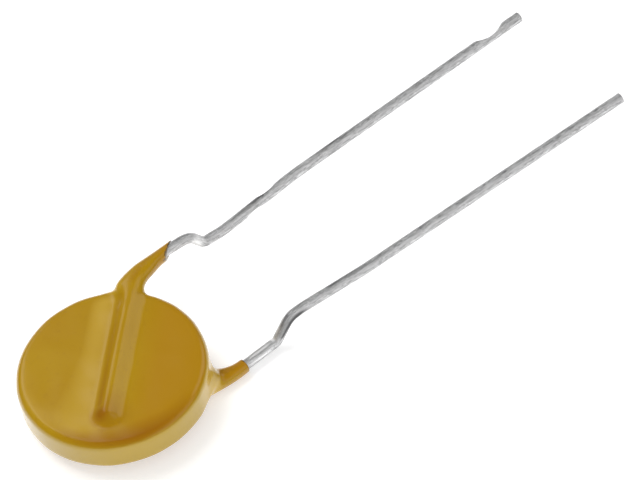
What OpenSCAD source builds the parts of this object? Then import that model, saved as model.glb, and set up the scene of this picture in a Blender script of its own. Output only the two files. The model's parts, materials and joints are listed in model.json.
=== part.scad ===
// Radial-leaded disc varistor.
// A zinc oxide disc carries a fired silver electrode on each face. One tinned wire is soldered
// across each electrode, and the whole body is dipped in resin that runs a little way down
// both wires. The wires cross over the disc, one on each face, and a kink in each brings it
// back to the middle plane of the disc.
//
// Everything is drawn about the centre of the disc, with the disc's axis along Z and the wires
// running away along +Y. place() then moves it to the part's own origin, which is on the
// surface that the part lies on, below the middle of its length and width.

/* [Ceramic disc] */
// Diameter of the zinc oxide disc
disc_d = 10; // [9.5:0.1:12]
// Thickness of the zinc oxide disc
disc_t = 1.6; // [1.4:0.05:2]
// Bevel round both edges of the disc
disc_bevel = 0.1; // [0.05:0.05:0.3]

/* [Electrodes and solder] */
// Bare ceramic left between the silver and the disc's edge
electrode_margin = 0.5; // [0.4:0.05:0.6]
// Thickness of the fired silver
electrode_t = 0.02; // [0.01:0.01:0.05]
// Solder between the silver and the underside of the wire
solder_film = 0.03; // [0.02:0.01:0.06]
// Width of the solder fillet at its foot
solder_w = 1.2; // [1:0.05:1.4]
// Height of the solder fillet above the silver, where it meets the wire
solder_h = 0.36; // [0.3:0.01:0.42]

/* [Leads] */
// Diameter of the tinned wire
wire_d = 0.6; // [0.5:0.05:0.7]
// Distance between the two wires at the end of their root bends
lead_pitch = 7.7; // [7.4:0.1:8.2]
// Distance of the wires' centre line to the left of the disc's centre
lead_offset = 0.4; // [0:0.05:0.6]
// Angle of each wire on the disc to the length of the part
cross_angle = 44; // [38:1:46]
// Distance of the crossing of the two wires beyond the disc's centre
cross_y = 0.65; // [0.4:0.05:0.9]
// Length of each wire on the disc, from the crossing to its inner end
inner_run = 4; // [3.5:0.1:4.4]
// Radius of the two shallow bends of each wire's spread
splay_r = 5; // [2:0.5:6]
// Chamfer that the cutter leaves round the free ends
tip_chamfer = 0.05; // [0.02:0.01:0.1]

/* [Front lead] */
// Distance of the free end from the disc's centre
front_reach = 31.3; // [24:0.1:45]
// Radius of the bend that turns the wire off the disc
front_bend_r = 4.2; // [3:0.1:4.5]
// Angle at which the wire leans inward between the body and the kink
front_toe = 4.3; // [0:0.1:6]
// Distance of the kink's first corner from the disc's centre
front_kink_y = 8.4; // [8.2:0.1:10]
// Slope of the kink
front_kink_angle = 57; // [40:1:60]
// Radius of the kink's first bend
front_kink_in_r = 0.9; // [0.5:0.1:1]
// Radius of the kink's second bend
front_kink_out_r = 0.4; // [0.35:0.05:0.6]
// Straight length between the kink and the spread
front_gap = 0.7; // [0.2:0.1:2]
// Angle at which the wire spreads outward after the kink
front_splay = 3.8; // [2:0.1:8]
// Straight length of the spread
front_splay_run = 4.7; // [2:0.1:6]
// Angle of the last straight run
front_end_angle = 0; // [0:0.1:2]

/* [Back lead] */
// Distance of the free end from the disc's centre
back_reach = 32; // [24:0.1:45]
// Radius of the bend that turns the wire off the disc
back_bend_r = 3; // [2.5:0.1:4.5]
// Angle at which the wire leans inward between the body and the kink
back_toe = 2.3; // [0:0.1:6]
// Distance of the kink's first corner from the disc's centre
back_kink_y = 8.4; // [8.2:0.1:10]
// Slope of the kink
back_kink_angle = 46; // [30:1:50]
// Radius of the kink's first bend
back_kink_in_r = 0.5; // [0.4:0.1:0.8]
// Radius of the kink's second bend
back_kink_out_r = 0.9; // [0.5:0.1:1]
// Straight length between the kink and the spread
back_gap = 0.2; // [0.1:0.1:2]
// Angle at which the wire spreads outward after the kink
back_splay = 4.2; // [2:0.1:8]
// Straight length of the spread
back_splay_run = 3.8; // [2:0.1:6]
// Angle of the last straight run
back_end_angle = 1.5; // [0:0.1:2]

/* [Tool marks on the front lead] */
// Distance of the pinch's outer mark from the start of the front wire's spread
pinch_run = 3; // [2:0.1:3.5]
// Distance of the pinch's inner mark from its outer one, towards the body
pinch_step = 1.2; // [0:0.1:1.5]
// Depth of both marks of the pinch
pinch_depth = 0.1; // [0.03:0.01:0.12]
// Radius of the jaws that pinched the wire
pinch_jaw_r = 2.6; // [1:0.1:3]
// Distance of the nip from the front wire's free end
nip_run = 2; // [1.4:0.1:4]
// Depth of the nip, on one side
nip_depth = 0.27; // [0.05:0.01:0.3]
// Radius of the jaw that nipped the wire
nip_jaw_r = 1.8; // [1:0.1:3]
// Angle of all the marks to the plane of the wires
jaw_turn = 36; // [0:1:60]

/* [Coating] */
// Thickness of the resin over the flat of each electrode
coat_face = 0.24; // [0.15:0.01:0.35]
// Thickness of the resin round the disc's edge
coat_rim = 0.3; // [0.18:0.01:0.4]
// Radius of the coating's rounded edge
coat_edge_r = 0.45; // [0.25:0.05:0.5]
// Extra resin gathered at the end away from the leads
coat_sag = 0.08; // [0:0.02:0.15]
// Thickness of the resin over the wire, at the crest of its ridge
coat_wire = 0.14; // [0.1:0.01:0.2]
// Height of the middle of each face above its edge
coat_dome = 0.1; // [0:0.02:0.14]
// Distance of the ridge's crest from the wire's centre line, towards the leads
ridge_shift = 0.08; // [0:0.02:0.12]
// Half width of the ridge on the side away from the leads
ridge_below = 0.95; // [0.8:0.05:1.6]
// Half width of the ridge on the side towards the leads
ridge_above = 1.1; // [0.8:0.05:1.6]
// Length that the ridge runs on past the wire's inner end
ridge_tail = 0.9; // [0.7:0.1:1]
// Height of the low mound that the ridge stands on
foot_h = 0.1; // [0:0.02:0.14]
// Half width of that mound on the side away from the leads
foot_below = 2.3; // [1.6:0.1:3]
// Half width of that mound on the side towards the leads
foot_above = 3.2; // [1.6:0.1:4]
// Distance that the rim is drawn out along each leg
rim_flare = 0.4; // [0.1:0.05:0.6]
// Length of that stretch of the rim on the outer side of the leg
flare_outer = 1.9; // [1.5:0.1:2.3]
// Length of that stretch of the rim on the inner side of the leg
flare_inner = 0.7; // [0.5:0.1:1.9]

/* [Coated legs] */
// Length over which each leg swells out of the body
leg_root_run = 0.9; // [0.8:0.1:1.5]
// Distance of the end of the front wire's leg from the disc's centre
front_leg_y = 7.05; // [6.9:0.05:7.4]
// Width of the front leg where it leaves the body
front_root_d = 1.8; // [1.4:0.05:2.4]
// Diameter of the front leg at its end
front_end_d = 0.9; // [0.88:0.02:1]
// Distance that the front leg's root leans to the outer side
front_root_lean = 0.07; // [0:0.01:0.15]
// Distance that the front leg leans to the inner side further on
front_lean = 0.18; // [0:0.02:0.2]
// Length by which the front leg's end reaches further on its outer side
front_slant = 1; // [0:0.05:1.1]
// Distance of the end of the back wire's leg from the disc's centre
back_leg_y = 6.2; // [6.1:0.05:7.4]
// Width of the back leg where it leaves the body
back_root_d = 2.35; // [1.4:0.05:2.4]
// Diameter of the back leg at its end
back_end_d = 0.84; // [0.76:0.02:1]
// Distance that the back leg's root leans to the outer side
back_root_lean = 0.12; // [0:0.01:0.15]

/* [Hidden] */
$fn = 48;

wire_r = wire_d / 2;
electrode_r = disc_d / 2 - electrode_margin;
coat_r = disc_d / 2 + coat_rim;
silver_z = disc_t / 2 + electrode_t;
face_z = silver_z + coat_face;
wire_z = silver_z + solder_film + wire_r;
crest_z = wire_z + wire_r + coat_wire;

// How far each wire runs straight from the crossing before its root bend.
function cross_run(bend_r) =
    (lead_pitch / 2 - bend_r * (1 - cos(cross_angle))) / sin(cross_angle);

part_length = max(front_reach, back_reach) + coat_r + coat_sag;
origin_y = max(front_reach, back_reach) - part_length / 2;

// Counts and steps that only set how finely the curved skins are drawn.
tube_sides = 24;
bend_steps = 5;
leg_steps = 14;
skin_turns = 72;
face_rings = 12;
edge_rings = 5;

tube_sink = 0.002;
overlap = 0.3;
solder_lap = 0.2;
foot_sink = 0.01;
fillet_step = 15;

// Distance of the top of a solder fillet from the wire's centre line.
fillet_top = 0.8 * wire_r;

// Length of the mound's rounded end past the wire, as a share of the ridge's.
foot_tail = 1.5;

// How quickly a leg draws in after its root.
root_fade = 2.5;

// Where along a leg, from 0 at the rim to 1 at its end, it leans inward most, and how far that
// lean fades on each side.
lean_at = 0.65;
lean_reach = 0.7;

// ---- placing ----

module place() {
    translate([0, -origin_y, crest_z]) children();
}

// The wires are drawn about their own centre line. The back one is the front one turned over.
module on_front() {
    translate([-lead_offset, 0, 0]) children();
}

module on_back() {
    translate([-lead_offset, 0, 0]) rotate([0, 180, 0]) children();
}

function backwards(list) = [for (i = [len(list) - 1 : -1 : 0]) list[i]];

function last(list) = list[len(list) - 1];

function middle(ring, i = 0) =
    i == len(ring) ? [0, 0, 0] : ring[i] / len(ring) + middle(ring, i + 1);

// A closed skin through a row of rings that all have the same number of points. Each end is a
// fan about the end point given.
module skin(rings, start_point, end_point) {
    n = len(rings[0]);
    count = len(rings);
    sides = [
        for (k = [0 : count - 2])
            for (i = [0 : n - 1])
                let (a = k * n + i, b = k * n + (i + 1) % n)
                for (face = [[a, a + n, b], [b, a + n, b + n]]) face
    ];
    fans = [
        for (i = [0 : n - 1])
            let (next = (i + 1) % n, top = (count - 1) * n)
            for (face = [[count * n, i, next], [count * n + 1, top + next, top + i]]) face
    ];
    polyhedron(
        points = concat([for (ring = rings) for (p = ring) p], [start_point, end_point]),
        faces = concat(sides, fans)
    );
}

// A skin whose ends are flat.
module tube(rings) {
    skin(rings, middle(rings[0]), middle(last(rings)));
}

// ---- wire ----

// A station on a wire's route is [point, heading, dip]. The heading is the turn to the left
// of +Y, and the dip is the slope down towards the middle plane of the disc.
function on_disc(s) =
    [[-s * sin(cross_angle), cross_y + s * cos(cross_angle), wire_z], cross_angle, 0];

function turned(from, heading, radius) =
    let (
        way = sign(heading - from[1]),
        shift = [cos(heading) - cos(from[1]), sin(heading) - sin(from[1]), 0]
    )
    [from[0] + way * radius * shift, heading, 0];

function dipped(from, dip, radius) =
    let (
        way = sign(dip - from[2]),
        run = way * radius * (sin(dip) - sin(from[2])),
        rise = way * radius * (cos(dip) - cos(from[2]))
    )
    [from[0] + [-run * sin(from[1]), run * cos(from[1]), rise], from[1], dip];

function ahead(from, run) =
    let (h = from[1], d = from[2])
    [from[0] + run * [-sin(h) * cos(d), cos(h) * cos(d), -sin(d)], h, d];

function turn_steps(from, heading, radius) = [
    for (k = [1 : bend_steps])
        turned(from, from[1] + (heading - from[1]) * k / bend_steps, radius)
];

function dip_steps(from, dip, radius) = [
    for (k = [1 : bend_steps])
        dipped(from, from[2] + (dip - from[2]) * k / bend_steps, radius)
];

// The round section of a tube at one station.
function tube_ring(station, r) =
    let (h = station[1], d = station[2])
    [
        for (i = [0 : tube_sides - 1])
            let (turn = 360 * i / tube_sides)
            station[0] + r * cos(turn) * [cos(h), sin(h), 0]
                - r * sin(turn) * [-sin(h) * sin(d), cos(h) * sin(d), cos(d)]
    ];

// The station where the root bend meets the straight length before the kink.
function leg_joint(bend_r, toe) = turned(on_disc(cross_run(bend_r)), -toe, bend_r);

// The route from the wire's inner end to the start of its last straight run.
function lead_route(
    bend_r, toe, kink_y, kink_angle, in_r, out_r, gap, splay, splay_run, end_angle
) =
    let (
        disc_end = on_disc(cross_run(bend_r)),
        root = turn_steps(disc_end, -toe, bend_r),
        leg_run = (kink_y - last(root)[0][1]) / cos(toe) - in_r * tan(kink_angle / 2),
        kink_start = ahead(last(root), leg_run),
        kink_in = dip_steps(kink_start, kink_angle, in_r),
        slope = (wire_z - (in_r + out_r) * (1 - cos(kink_angle))) / sin(kink_angle),
        kink_mid = ahead(last(kink_in), slope),
        kink_out = dip_steps(kink_mid, 0, out_r),
        splay_start = ahead(last(kink_out), gap),
        splay_out = turn_steps(splay_start, splay, splay_r),
        splay_end = ahead(last(splay_out), splay_run),
        splay_in = turn_steps(splay_end, end_angle, splay_r)
    )
    concat([on_disc(-inner_run), disc_end], root, [kink_start], kink_in, [kink_mid],
        kink_out, [splay_start], splay_out, [splay_end], splay_in);

front_route = lead_route(
    front_bend_r, front_toe, front_kink_y, front_kink_angle, front_kink_in_r,
    front_kink_out_r, front_gap, front_splay, front_splay_run, front_end_angle
);
back_route = lead_route(
    back_bend_r, back_toe, back_kink_y, back_kink_angle, back_kink_in_r,
    back_kink_out_r, back_gap, back_splay, back_splay_run, back_end_angle
);
splay_mid = front_route[len(front_route) - bend_steps - 2];

// The bent part of a wire. It reaches a little way into the straight run that follows.
module bent_wire(route) {
    stations = concat(route, [ahead(last(route), overlap)]);
    tube([for (station = stations) tube_ring(station, wire_r - tube_sink)]);
}

// Moves to a station and turns Z to point along the wire there.
module at_station(station) {
    translate(station[0])
        rotate([0, 0, station[1]])
            rotate([-90, 0, 0])
                children();
}

// Length of the last straight run of a wire that reaches this far from the disc's centre.
function run_length(route, reach) = (reach - last(route)[0][1]) / cos(last(route)[1]);

// The straight run, from where the spread ends to the free end that the cutter left.
module straight_run(route, reach) {
    run = run_length(route, reach);
    at_station(last(route))
        rotate_extrude()
            polygon([
                [0, 0],
                [wire_r, 0],
                [wire_r, run - tip_chamfer],
                [wire_r - tip_chamfer, run],
                [0, run]
            ]);
}

// The hollow that one jaw of a tool presses into a wire that runs along Z. At a turn of 0 it
// is on the wire's right, and at 90 it is on its underside.
module jaw_mark(jaw_r, depth, turn) {
    rotate([0, 0, turn])
        translate([wire_r - depth + jaw_r, 0, 0])
            rotate([90, 0, 0])
                cylinder(h = 2 * wire_d, r = jaw_r, center = true);
}

module front_wire() {
    nip_at = run_length(front_route, front_reach) - nip_run;
    on_front()
        difference() {
            union() {
                bent_wire(front_route);
                straight_run(front_route, front_reach);
            }
            at_station(ahead(splay_mid, pinch_run - pinch_step))
                jaw_mark(pinch_jaw_r, pinch_depth, jaw_turn);
            at_station(ahead(splay_mid, pinch_run))
                jaw_mark(pinch_jaw_r, pinch_depth, 180 + jaw_turn);
            at_station(ahead(last(front_route), nip_at))
                jaw_mark(nip_jaw_r, nip_depth, 180 + jaw_turn);
        }
}

module back_wire() {
    on_back() {
        bent_wire(back_route);
        straight_run(back_route, back_reach);
    }
}

// ---- inside the coating ----

module disc_blank() {
    half_t = disc_t / 2;
    rotate_extrude()
        polygon([
            [0, -half_t],
            [disc_d / 2 - disc_bevel, -half_t],
            [disc_d / 2, disc_bevel - half_t],
            [disc_d / 2, half_t - disc_bevel],
            [disc_d / 2 - disc_bevel, half_t],
            [0, half_t]
        ]);
}

module electrode_blank() {
    translate([0, 0, disc_t / 2])
        cylinder(h = electrode_t, r = electrode_r);
}

// One side of the fillet's outline, from the wire's flank down to its foot: a hollow arc.
function fillet_side(side) = [
    for (turn = [90 : -fillet_step : 0])
        [side * (fillet_top + (solder_w / 2 - fillet_top) * (1 - sin(turn))),
         solder_h * (1 - cos(turn))]
];

// How far the wire's line runs on from the crossing to a circle about the disc's centre.
function run_to(r) =
    let (
        off_line = cross_y * sin(cross_angle) - lead_offset * cos(cross_angle),
        behind = lead_offset * sin(cross_angle) + cross_y * cos(cross_angle)
    )
    sqrt(pow(r, 2) - pow(off_line, 2)) - behind;

// The solder runs from just past the wire's inner end nearly to the edge of the silver.
// sink carries its foot down, for the hollow that it leaves in the coating.
module solder_mound(sink) {
    edge_run = run_to(electrode_r) - solder_w / 2;
    foot = sink > 0 ? [[solder_w / 2, -sink], [-solder_w / 2, -sink]] : [];
    translate([0, cross_y, silver_z])
        rotate([0, 0, cross_angle])
            translate([0, edge_run, 0])
                rotate([90, 0, 0])
                    linear_extrude(height = edge_run + inner_run + solder_lap)
                        polygon(concat(fillet_side(1), foot, backwards(fillet_side(-1))));
}

module solder_blank() {
    difference() {
        solder_mound(0);
        bent_wire(front_route);
    }
}

// ---- coating ----

// Rises smoothly from 0 to 1.
function ease(t) = let (c = min(1, max(0, t))) c * c * (3 - 2 * c);

// Falls smoothly from 1 at the middle of a mound to 0 at its foot.
function bell(u) = u < 1 ? pow(1 - u * u, 3) : 0;

// How far a point of the front face lies across and along the front wire, from the crossing.
function across_wire(x, y) =
    (x + lead_offset) * cos(cross_angle) + (y - cross_y) * sin(cross_angle);

function along_wire(x, y) =
    -(x + lead_offset) * sin(cross_angle) + (y - cross_y) * cos(cross_angle);

// Height of the surface above the edge of the face: a shallow dome, a low mound along the wire
// and a ridge on top. The mound and the ridge are rounded off past the wire's inner end.
function ridge(x, y) =
    let (
        across = across_wire(x, y) - ridge_shift,
        ridge_w = across > 0 ? ridge_above : ridge_below,
        foot_w = across > 0 ? foot_above : foot_below,
        past = max(0, -inner_run - along_wire(x, y)) / ridge_tail,
        dome = coat_dome * max(0, 1 - (x * x + y * y) / pow(coat_r, 2)),
        ridge_h = crest_z - face_z - dome - foot_h
    )
    dome + foot_h * bell(norm([across / foot_w, past / foot_tail]))
        + ridge_h * bell(norm([across / ridge_w, past]));

// How far the rim is drawn out along the wire where the leg leaves it.
function flare(x, y) =
    let (
        across = across_wire(x, y),
        reach = across > 0 ? flare_inner : flare_outer
    )
    along_wire(x, y) > 0 ? rim_flare * bell(abs(across) / reach) : 0;

// The body's radius in plan. The resin sags towards the end away from the leads.
function body_r(turn) = coat_r + coat_sag * pow(max(0, -sin(turn)), 2);

// side is 1 on the front half of the body and -1 on the back half, whose x counts the other
// way from the wires' centre line.
function own_x(x, side) = side > 0 ? x : -2 * lead_offset - x;

function face_point(turn, r, side) =
    let (x = r * cos(turn), y = r * sin(turn))
    [x, y, side * (face_z + ridge(own_x(x, side), y))];

function edge_point(turn, round, side) =
    let (
        r = body_r(turn) - coat_edge_r * (1 - sin(round)),
        x = r * cos(turn),
        y = r * sin(turn),
        h = ridge(own_x(x, side), y),
        out = flare(own_x(x, side), y) * sin(round)
    )
    [
        x - side * out * sin(cross_angle),
        y + out * cos(cross_angle),
        side * (face_z - coat_edge_r + (coat_edge_r + h) * cos(round))
    ];

skin_angles = [for (i = [0 : skin_turns - 1]) 360 * i / skin_turns];

// The rings of one half, from the middle of its face to the top of its wall.
function half_rings(side) = concat(
    [
        for (k = [1 : face_rings])
            [
                for (turn = skin_angles)
                    face_point(turn, (body_r(turn) - coat_edge_r) * k / face_rings, side)
            ]
    ],
    [
        for (k = [1 : edge_rings])
            [for (turn = skin_angles) edge_point(turn, 90 * k / edge_rings, side)]
    ]
);

middle_ring = [for (turn = skin_angles) body_r(turn) * [cos(turn), sin(turn), 0]];

// The dipped disc, with a ridge over each wire.
module body_skin() {
    skin(
        concat(half_rings(-1), [middle_ring], backwards(half_rings(1))),
        face_point(0, 0, -1),
        face_point(0, 0, 1)
    );
}

rim_run = run_to(coat_r);
leg_start = rim_run - leg_root_run;

// A station on the leg, at a distance past the crossing.
function leg_station(s, bend_r, toe) =
    let (
        bend_start = cross_run(bend_r),
        bent = max(0, s - bend_start) / bend_r * 180 / PI,
        whole_bend = cross_angle + toe,
        past = (bent - whole_bend) * bend_r * PI / 180
    )
    bent == 0 ? on_disc(s)
    : bent < whole_bend ? turned(on_disc(bend_start), cross_angle - bent, bend_r)
    : ahead(leg_joint(bend_r, toe), past);

// The leg swells as it leaves the body, then draws in to its end, which is cut on a slant.
// share runs from 0 at the rim to 1 at the leg's end.
function leg_ring(station, s, end_s, root_d, end_d, root_lean, lean, slant) =
    let (
        swell = ease((s - leg_start) / leg_root_run),
        share = min(1, max(0, (s - rim_run) / (end_s - rim_run))),
        root_share = swell * pow(1 - share, root_fade),
        half_w = end_d / 2 + (root_d - end_d) / 2 * root_share,
        rim_h = wire_r + coat_wire * (1 + swell) / 2,
        half_h = rim_h + (end_d / 2 - rim_h) * (1 - pow(1 - share, 2)),
        inward = lean * bell(abs(share - lean_at) / lean_reach) - root_lean * root_share,
        side = [cos(station[1]), sin(station[1]), 0],
        forward = [-sin(station[1]), cos(station[1]), 0]
    )
    [
        for (i = [0 : tube_sides - 1])
            let (turn = 360 * i / tube_sides)
            station[0] + (inward + half_w * cos(turn)) * side
                - half_h * sin(turn) * [0, 0, 1]
                - slant / 2 * cos(turn) * share * forward
    ];

module leg(leg_y, bend_r, toe, root_d, end_d, root_lean, lean, slant) {
    bend_run = bend_r * (cross_angle + toe) * PI / 180;
    straight_y = leg_y - leg_joint(bend_r, toe)[0][1];
    end_s = cross_run(bend_r) + bend_run + straight_y / cos(toe);
    tube([
        for (k = [0 : leg_steps])
            let (
                s = leg_start + (end_s - leg_start) * k / leg_steps,
                station = leg_station(s, bend_r, toe)
            )
            leg_ring(station, s, end_s, root_d, end_d, root_lean, lean, slant)
    ]);
}

module front_leg() {
    leg(front_leg_y, front_bend_r, front_toe, front_root_d, front_end_d, front_root_lean,
        front_lean, front_slant);
}

module back_leg() {
    leg(back_leg_y, back_bend_r, back_toe, back_root_d, back_end_d, back_root_lean, 0, 0);
}

// ---- the parts ----

module coating() {
    color("darkgoldenrod")
        place()
            difference() {
                union() {
                    body_skin();
                    on_front() front_leg();
                    on_back() back_leg();
                }
                disc_blank();
                cylinder(h = 2 * silver_z, r = electrode_r, center = true);
                on_front() solder_mound(foot_sink);
                on_back() solder_mound(foot_sink);
                on_front() bent_wire(front_route);
                on_back() bent_wire(back_route);
            }
}

module ceramic_disc() {
    color("dimgray") place() disc_blank();
}

module front_electrode() {
    color("gainsboro") place() electrode_blank();
}

module back_electrode() {
    color("gainsboro") place() rotate([0, 180, 0]) electrode_blank();
}

module front_solder() {
    color("darkgray") place() on_front() solder_blank();
}

module back_solder() {
    color("darkgray") place() on_back() solder_blank();
}

module front_lead() {
    color("silver") place() front_wire();
}

module back_lead() {
    color("silver") place() back_wire();
}

coating();
ceramic_disc();
front_electrode();
back_electrode();
front_solder();
back_solder();
front_lead();
back_lead();
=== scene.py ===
# %% [markdown]
# # A disc varistor
# A varistor guards a circuit against voltage surges. Inside is a disc of zinc oxide ceramic
# with a silver film on each face. A tinned wire is soldered across each film, and the whole
# body is dipped in ochre resin. This notebook dresses the plain solids of that part: it
# rebuilds the resin as one smooth skin and the wires as drawn and bent metal.

# %% Load the solids
import json
import random
from math import atan, atan2, ceil, cos, degrees, hypot, pi, radians, remainder, sin, sqrt, tan, tau

import bpy
import numpy as np
from mathutils import Matrix, Vector

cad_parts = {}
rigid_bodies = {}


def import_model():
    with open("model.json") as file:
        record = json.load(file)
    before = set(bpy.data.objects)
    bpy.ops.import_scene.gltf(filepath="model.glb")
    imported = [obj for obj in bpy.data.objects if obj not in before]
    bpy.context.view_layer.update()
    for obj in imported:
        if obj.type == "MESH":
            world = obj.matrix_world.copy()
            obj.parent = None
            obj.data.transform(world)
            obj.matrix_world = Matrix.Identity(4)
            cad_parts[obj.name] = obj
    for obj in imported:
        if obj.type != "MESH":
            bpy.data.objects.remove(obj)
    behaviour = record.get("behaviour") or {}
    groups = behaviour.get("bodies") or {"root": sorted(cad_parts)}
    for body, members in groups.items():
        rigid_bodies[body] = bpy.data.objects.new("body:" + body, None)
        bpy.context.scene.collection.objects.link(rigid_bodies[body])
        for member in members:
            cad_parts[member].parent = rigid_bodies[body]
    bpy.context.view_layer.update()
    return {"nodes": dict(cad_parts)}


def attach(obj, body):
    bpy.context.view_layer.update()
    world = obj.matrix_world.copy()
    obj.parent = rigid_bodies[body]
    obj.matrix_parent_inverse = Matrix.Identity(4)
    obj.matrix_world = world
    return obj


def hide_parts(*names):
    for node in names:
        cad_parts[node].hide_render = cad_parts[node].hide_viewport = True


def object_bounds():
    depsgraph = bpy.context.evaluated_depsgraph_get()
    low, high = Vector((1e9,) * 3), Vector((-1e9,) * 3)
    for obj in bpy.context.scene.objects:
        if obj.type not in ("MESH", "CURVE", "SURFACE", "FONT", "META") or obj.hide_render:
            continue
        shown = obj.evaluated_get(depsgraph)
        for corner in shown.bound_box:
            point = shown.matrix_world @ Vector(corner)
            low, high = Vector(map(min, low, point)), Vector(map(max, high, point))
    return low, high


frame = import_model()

MM = 0.001


def add_object(name, data):
    thing = bpy.data.objects.new(name, data)
    bpy.context.scene.collection.objects.link(thing)
    return thing


print("solids:", sorted(frame["nodes"]))

# %% [markdown]
# ## The sizes of the part
# Every size is in millimetres, as a maker would write it. The part is described about the
# middle of its disc, with the disc's axis along Z and the wires running away along +Y. The
# frame that the solids use has its origin on the table, under the middle of the part.

# %% Sizes
DISC_D = 10.0
DISC_T = 1.6
SILVER_T = 0.02
SOLDER_FILM = 0.03
COAT_FACE = 0.24
COAT_RIM = 0.3
COAT_SAG = 0.08
COAT_EDGE_R = 0.45
COAT_WIRE = 0.14
WIRE_D = 0.6

wire_r = WIRE_D / 2
coat_r = DISC_D / 2 + COAT_RIM
face_z = DISC_T / 2 + SILVER_T + COAT_FACE
wire_z = DISC_T / 2 + SILVER_T + SOLDER_FILM + wire_r
crest_z = wire_z + wire_r + COAT_WIRE

FRONT_REACH = 31.3
BACK_REACH = 32.0
part_length = BACK_REACH + coat_r + COAT_SAG
origin_y = BACK_REACH - part_length / 2
disc_middle = Vector((0, -origin_y, crest_z))
print(f"body {2 * coat_r:.1f} mm across and {2 * face_z:.2f} mm thick")

# %% [markdown]
# ## The camera
# A small part is best seen through a long lens from far off, because a short lens close by
# would make the near end look much bigger than the far end. The camera looks down at the disc
# from beyond its right side, and is rolled a little. It is built from three directions: its
# right, its up, and the way back towards it.

# %% Camera
LEAD_TURN = radians(25.8)      # from the camera's level line to the wires
CAMERA_ROLL = radians(14.15)
LOOK_DOWN = 0.79                    # sine of the camera's height above the disc's plane
PIXELS_PER_MM = 97.4 / 5.3
PICTURE = (640, 480)
DISC_AT = (114.94, 378.64)          # where the disc's middle falls, in pixels
CAMERA_FAR = 1100.0                 # mm
SENSOR_W = 36.0

level = Vector((sin(LEAD_TURN), cos(LEAD_TURN), 0))
away = Vector((-cos(LEAD_TURN), sin(LEAD_TURN), 0))
look_across = sqrt(1 - LOOK_DOWN ** 2)
rise = away * LOOK_DOWN + Vector((0, 0, look_across))
cam_right = level * cos(CAMERA_ROLL) - rise * sin(CAMERA_ROLL)
cam_up = level * sin(CAMERA_ROLL) + rise * cos(CAMERA_ROLL)
cam_back = cam_right.cross(cam_up)

aim = (disc_middle
       + cam_right * (PICTURE[0] / 2 - DISC_AT[0]) / PIXELS_PER_MM
       + cam_up * (DISC_AT[1] - PICTURE[1] / 2) / PIXELS_PER_MM)

camera_data = bpy.data.cameras.new("camera")
camera = add_object("camera", camera_data)
camera_data.sensor_width = SENSOR_W
camera_data.lens = SENSOR_W * CAMERA_FAR * PIXELS_PER_MM / PICTURE[0]
camera_data.clip_start = 0.01
camera_data.clip_end = 20.0
facing = Matrix((cam_right, cam_up, cam_back)).transposed().to_4x4()
camera.matrix_world = Matrix.Translation((aim + cam_back * CAMERA_FAR) * MM) @ facing
bpy.context.scene.camera = camera
bpy.context.scene.view_settings.view_transform = "Standard"
print(f"lens {camera_data.lens:.0f} mm")

# %% [markdown]
# ## A graph for each finish
# A material is a graph of nodes. It could be drawn by hand in the shader editor, but a script
# can be read and changed line by line. This class keeps it short: each of its steps adds a
# node, fills its inputs and gives back its output, ready for the next step.

# %% Graphs
class Graph:
    """The nodes of one material, or of the room."""

    def __init__(self, owner):
        owner.use_nodes = True
        self.owner = owner
        self.nodes = owner.node_tree.nodes
        self.shader = self.nodes.get("Principled BSDF")

    def add(self, kind, **settings):
        node = self.nodes.new("ShaderNode" + kind)
        for name, value in settings.items():
            setattr(node, name, value)
        return node

    def feed(self, socket, value):
        """Gives a socket a number, a colour, a direction or another node's output."""
        if isinstance(value, bpy.types.NodeSocket):
            self.owner.node_tree.links.new(value, socket)
        else:
            socket.default_value = (*value, 1) if socket.type == "RGBA" else value

    def fill(self, node, values):
        """Feeds inputs of a node, each given by its name or its number."""
        for key, value in values.items():
            self.feed(node.inputs[key], value)
        return node

    def put(self, **values):
        """Feeds the shader. An underscore stands for the space in an input's name."""
        self.fill(self.shader, {name.replace("_", " "): v for name, v in values.items()})

    def place(self):
        return self.add("TexCoord").outputs["Object"]

    def attribute(self, name, output="Fac"):
        return self.add("Attribute", attribute_name=name).outputs[output]

    def maths(self, operation, first, second):
        return self.fill(self.add("Math", operation=operation), {0: first, 1: second}).outputs[0]

    def stretched(self, vector, factors):
        node = self.fill(self.add("Mapping"), {"Vector": vector, "Scale": factors})
        return node.outputs["Vector"]

    def noise(self, vector, scale, detail=4.0, roughness=0.55):
        """A noise texture's value, about 0.5 on average."""
        values = {"Vector": vector, "Scale": scale, "Detail": detail, "Roughness": roughness}
        return self.fill(self.add("TexNoise"), values).outputs["Fac"]

    def spread(self, value, low, high, out_low=0.0, out_high=1.0, kind="LINEAR"):
        """value, stretched so that low..high becomes out_low..out_high, and level beyond."""
        node = self.add("MapRange", interpolation_type=kind)
        self.fill(node, {"Value": value, "From Min": low, "From Max": high,
                         "To Min": out_low, "To Max": out_high})
        return node.outputs["Result"]

    def blend(self, share, first, second):
        """A mix of two colours."""
        node = self.add("Mix", data_type="RGBA")
        return self.fill(node, {0: share, 6: first, 7: second}).outputs[2]

    def bump(self, height, strength, distance):
        """Adds a bump to the shader, on top of any that it already has. Distance is in mm."""
        node = self.fill(self.add("Bump"), {"Height": height, "Strength": strength,
                                            "Distance": distance * MM})
        normal = self.shader.inputs["Normal"]
        if normal.is_linked:
            self.feed(node.inputs["Normal"], normal.links[0].from_socket)
        self.feed(normal, node.outputs["Normal"])


def srgb(r, g, b):
    """A colour given as 0 to 255 on screen, as the light values that a shader takes."""
    def light(v):
        v /= 255
        return v / 12.92 if v <= 0.04045 else ((v + 0.055) / 1.055) ** 2.4
    return light(r), light(g), light(b)


print(f"middle grey on screen is {srgb(128, 128, 128)[0]:.3f} of white in light")

# %% [markdown]
# ## The floor
# The part lies on a plain white surface. Under soft lamps a white sheet looks grey, and more
# light would bleach the part as well. So to the camera and in reflections the floor adds a
# little light of its own, while its matt share still takes the part's soft shadow.

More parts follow.
